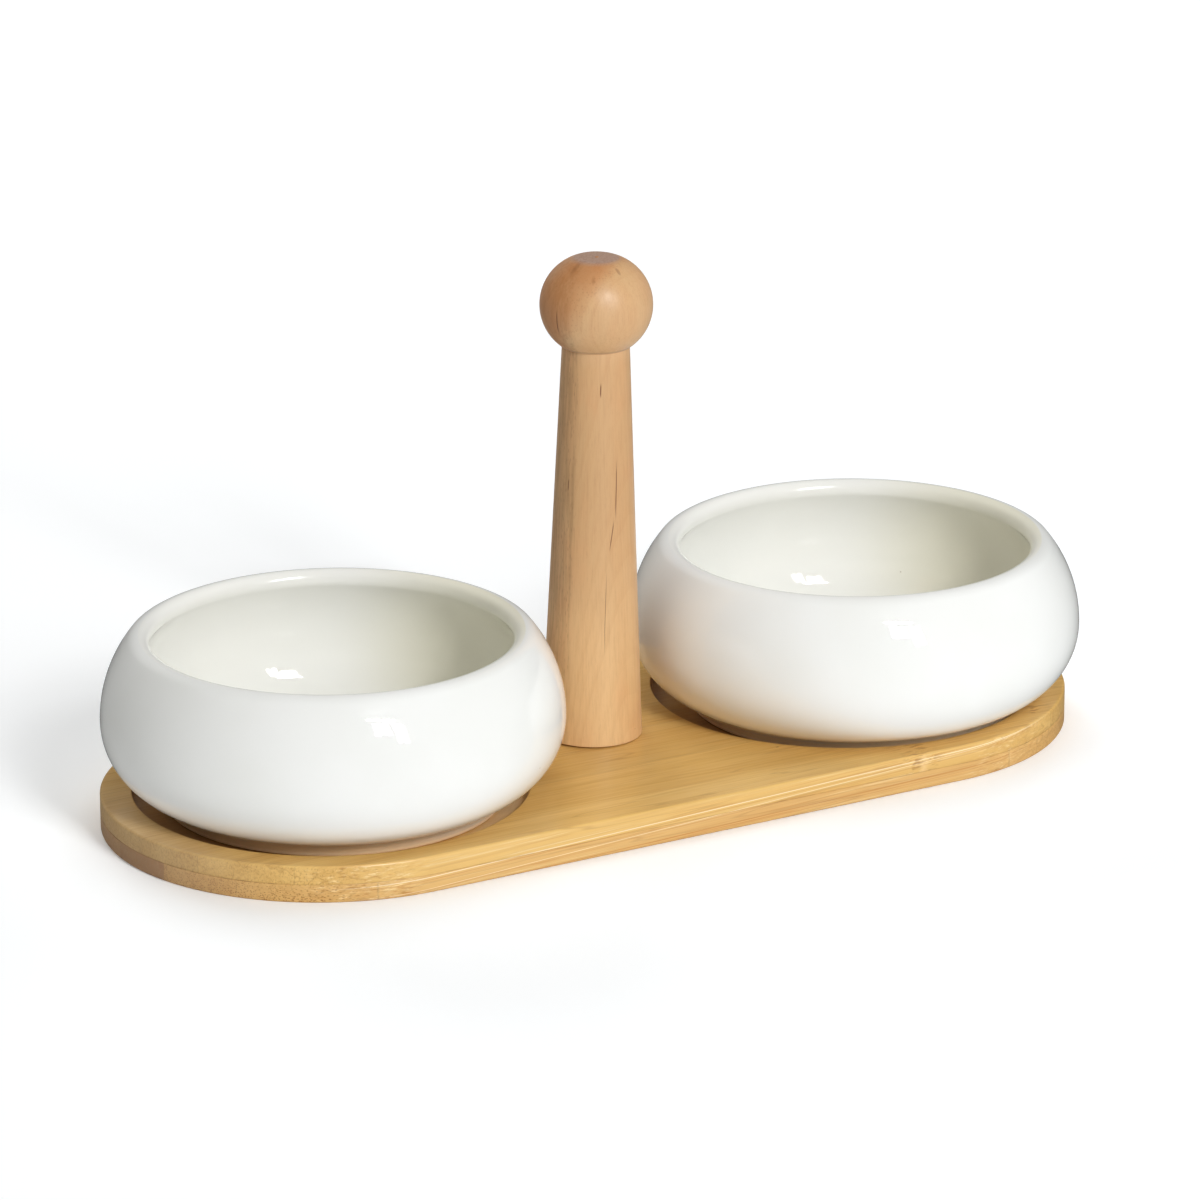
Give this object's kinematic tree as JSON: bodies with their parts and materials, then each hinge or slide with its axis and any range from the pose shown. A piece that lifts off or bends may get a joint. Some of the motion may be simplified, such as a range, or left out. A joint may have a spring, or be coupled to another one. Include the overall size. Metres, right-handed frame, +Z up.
{
  "type": "chip and dip server",
  "caption": "Long bamboo board with semicircular ends, a round pocket near each end holding a loose glazed bowl, and a turned wooden ball-top handle between them.",
  "frame": {"origin": "centre of the board's underside, on the handle's axis", "axes": "+X along the board towards the right bowl, +Y across it towards the back, +Z up along the handle"},
  "size_m": [0.281, 0.1264, 0.1426],
  "materials": {
    "bamboo": "oiled satin, grain along X",
    "glazed_porcelain": "glossy white glaze",
    "turned_wood": "sanded and waxed, grain along Z",
    "insert_brass": "plain",
    "plated_steel": "bright zinc plated"
  },
  "bodies": {
    "server_board": {"board_top_ply": "bamboo", "board_bottom_ply": "bamboo", "turned_handle": "turned_wood", "handle_insert": "insert_brass", "handle_screw": "plated_steel", "handle_washer": "plated_steel"},
    "left_bowl_body": {"left_bowl": "glazed_porcelain"},
    "right_bowl_body": {"right_bowl": "glazed_porcelain"}
  },
  "joints": [
    {"name": "left_bowl_lift", "type": "slide", "parent": "server_board", "child": "left_bowl_body", "axis": [0, 0, 1], "range_m": [0, 0.14]},
    {"name": "right_bowl_lift", "type": "slide", "parent": "server_board", "child": "right_bowl_body", "axis": [0, 0, 1], "range_m": [0, 0.14]}
  ]
}
